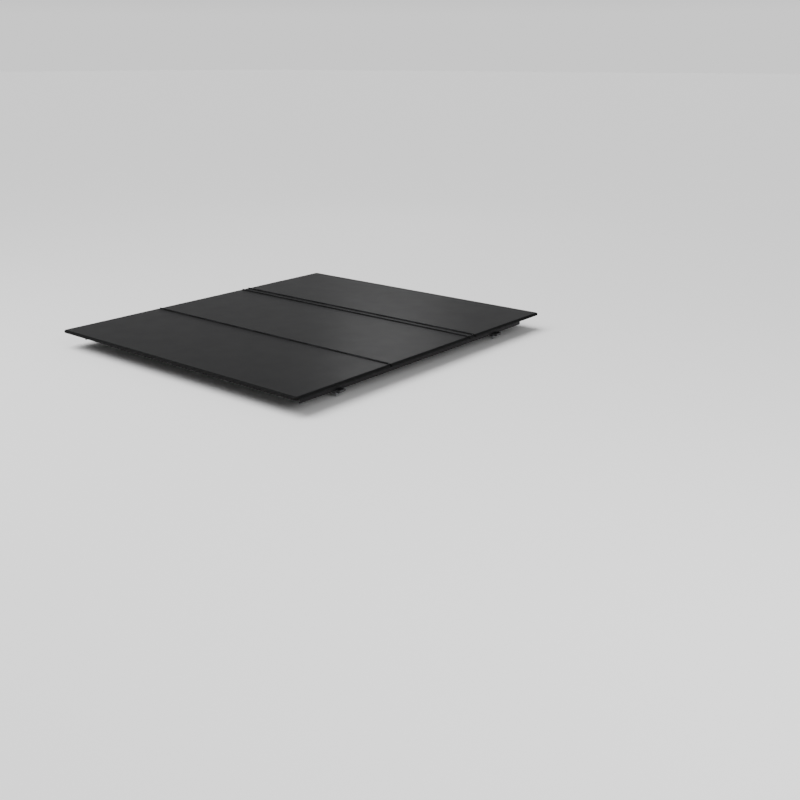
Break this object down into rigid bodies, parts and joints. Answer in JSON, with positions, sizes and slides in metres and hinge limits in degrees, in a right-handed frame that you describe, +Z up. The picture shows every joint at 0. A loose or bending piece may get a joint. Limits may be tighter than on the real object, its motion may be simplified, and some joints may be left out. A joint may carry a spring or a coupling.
{
  "type": "tonneau cover",
  "caption": "Low-profile hard folding cover for a pickup bed: flat aluminium-skinned panels on hinges, side rails with clamps, edge seals and a lever-driven rear latch.",
  "frame": {"origin": "centre of the bed opening, level with the tops of the bed rails", "axes": "+X to the vehicle's right, +Y forward to the cab, +Z up"},
  "size_m": [1.65, 1.99, 0.102],
  "materials": {
    "top_coat": "fine textured matte black powder coat",
    "frame_coat": "matte black powder coat",
    "under_coat": "matte black coil coat",
    "core_foam": "closed-cell foam",
    "seal_rubber": "extruded EPDM rubber",
    "gasket_rubber": "extruded EPDM rubber",
    "rail_coat": "matte black powder coat",
    "bracket_metal": "mill finish aluminium",
    "clamp_cast": "black coated casting",
    "moulded_plastic": "fine-grained moulded plastic",
    "plated_steel": "zinc-plated steel",
    "fastener_steel": "zinc-plated steel"
  },
  "bodies": {
    "front_and_rails": {"front_top_skin": "top_coat", "front_core": "core_foam", "front_bottom_skin": "under_coat", "front_hinge_bar": "frame_coat", "front_bulkhead_bar": "frame_coat", "front_left_bar": "frame_coat", "front_right_bar": "frame_coat", "front_edge_seal": "seal_rubber", "bulkhead_seal": "seal_rubber", "front_hinge_gasket": "gasket_rubber", "left_rail": "rail_coat", "right_rail": "rail_coat", "left_rail_seal": "seal_rubber", "right_rail_seal": "seal_rubber", "left_front_bracket": "bracket_metal", "right_front_bracket": "bracket_metal", "bracket_screws": "fastener_steel", "left_rear_clamp": "clamp_cast", "right_rear_clamp": "clamp_cast", "left_front_clamp": "clamp_cast", "right_front_clamp": "clamp_cast", "clamp_bolts": "fastener_steel", "left_striker": "plated_steel", "right_striker": "plated_steel"},
    "rear_panel": {"rear_top_skin": "top_coat", "rear_core": "core_foam", "rear_bottom_skin": "under_coat", "rear_tail_bar": "frame_coat", "rear_hinge_bar": "frame_coat", "rear_left_bar": "frame_coat", "rear_right_bar": "frame_coat", "rear_edge_seal": "seal_rubber", "tailgate_seal": "seal_rubber", "rod_guides": "moulded_plastic", "lever_pivot": "plated_steel", "latch_screws": "fastener_steel"},
    "middle_panel": {"middle_top_skin": "top_coat", "middle_core": "core_foam", "middle_bottom_skin": "under_coat", "middle_rear_bar": "frame_coat", "middle_front_bar": "frame_coat", "middle_left_bar": "frame_coat", "middle_right_bar": "frame_coat", "middle_left_seal": "seal_rubber", "middle_right_seal": "seal_rubber", "rear_hinge_pin": "fastener_steel", "rear_hinge_gasket": "gasket_rubber"},
    "hinge_link": {"hinge_spine": "frame_coat", "spine_hinge_pins": "fastener_steel", "spine_left_seal": "seal_rubber", "spine_right_seal": "seal_rubber", "spine_gasket": "gasket_rubber"},
    "latch_lever": {"release_lever": "plated_steel", "lever_grip": "moulded_plastic"},
    "left_rod": {"left_latch_rod": "plated_steel"},
    "right_rod": {"right_latch_rod": "plated_steel"},
    "left_rear_jaw_slide_body": {"left_rear_jaw": "clamp_cast"},
    "right_rear_jaw_slide_body": {"right_rear_jaw": "clamp_cast"},
    "left_front_jaw_slide_body": {"left_front_jaw": "clamp_cast"},
    "right_front_jaw_slide_body": {"right_front_jaw": "clamp_cast"}
  },
  "joints": [
    {"name": "spine_fold", "type": "hinge", "parent": "front_and_rails", "child": "hinge_link", "pos_m": [0, 0.352, 0.018], "axis": [-1, 0, 0], "range_deg": [0, 90]},
    {"name": "middle_fold", "type": "hinge", "parent": "hinge_link", "child": "middle_panel", "pos_m": [0, 0.302, 0.018], "axis": [-1, 0, 0], "range_deg": [0, 90]},
    {"name": "rear_fold", "type": "hinge", "parent": "middle_panel", "child": "rear_panel", "pos_m": [0, -0.35, 0.018], "axis": [-1, 0, 0], "range_deg": [0, 180]},
    {"name": "lever_turn", "type": "hinge", "parent": "rear_panel", "child": "latch_lever", "pos_m": [0, -0.795, -0.021], "axis": [0, 0, 1], "range_deg": [0, 30]},
    {"name": "left_rod_slide", "type": "slide", "parent": "rear_panel", "child": "left_rod", "axis": [-1, 0, 0], "range_m": [0, 0.0111]},
    {"name": "right_rod_slide", "type": "slide", "parent": "rear_panel", "child": "right_rod", "axis": [1, 0, 0], "range_m": [0, 0.0111]},
    {"name": "left_rear_jaw_slide", "type": "slide", "parent": "front_and_rails", "child": "left_rear_jaw_slide_body", "axis": [0, 0, -1], "range_m": [0, 0.015]},
    {"name": "right_rear_jaw_slide", "type": "slide", "parent": "front_and_rails", "child": "right_rear_jaw_slide_body", "axis": [0, 0, -1], "range_m": [0, 0.015]},
    {"name": "left_front_jaw_slide", "type": "slide", "parent": "front_and_rails", "child": "left_front_jaw_slide_body", "axis": [0, 0, -1], "range_m": [0, 0.015]},
    {"name": "right_front_jaw_slide", "type": "slide", "parent": "front_and_rails", "child": "right_front_jaw_slide_body", "axis": [0, 0, -1], "range_m": [0, 0.015]}
  ],
  "couplings": [
    {"joint": "middle_fold", "follows": "spine_fold", "ratio": 1},
    {"joint": "left_rod_slide", "follows": "lever_turn", "m_per_rad": 0.021008},
    {"joint": "right_rod_slide", "follows": "lever_turn", "m_per_rad": 0.021008}
  ]
}
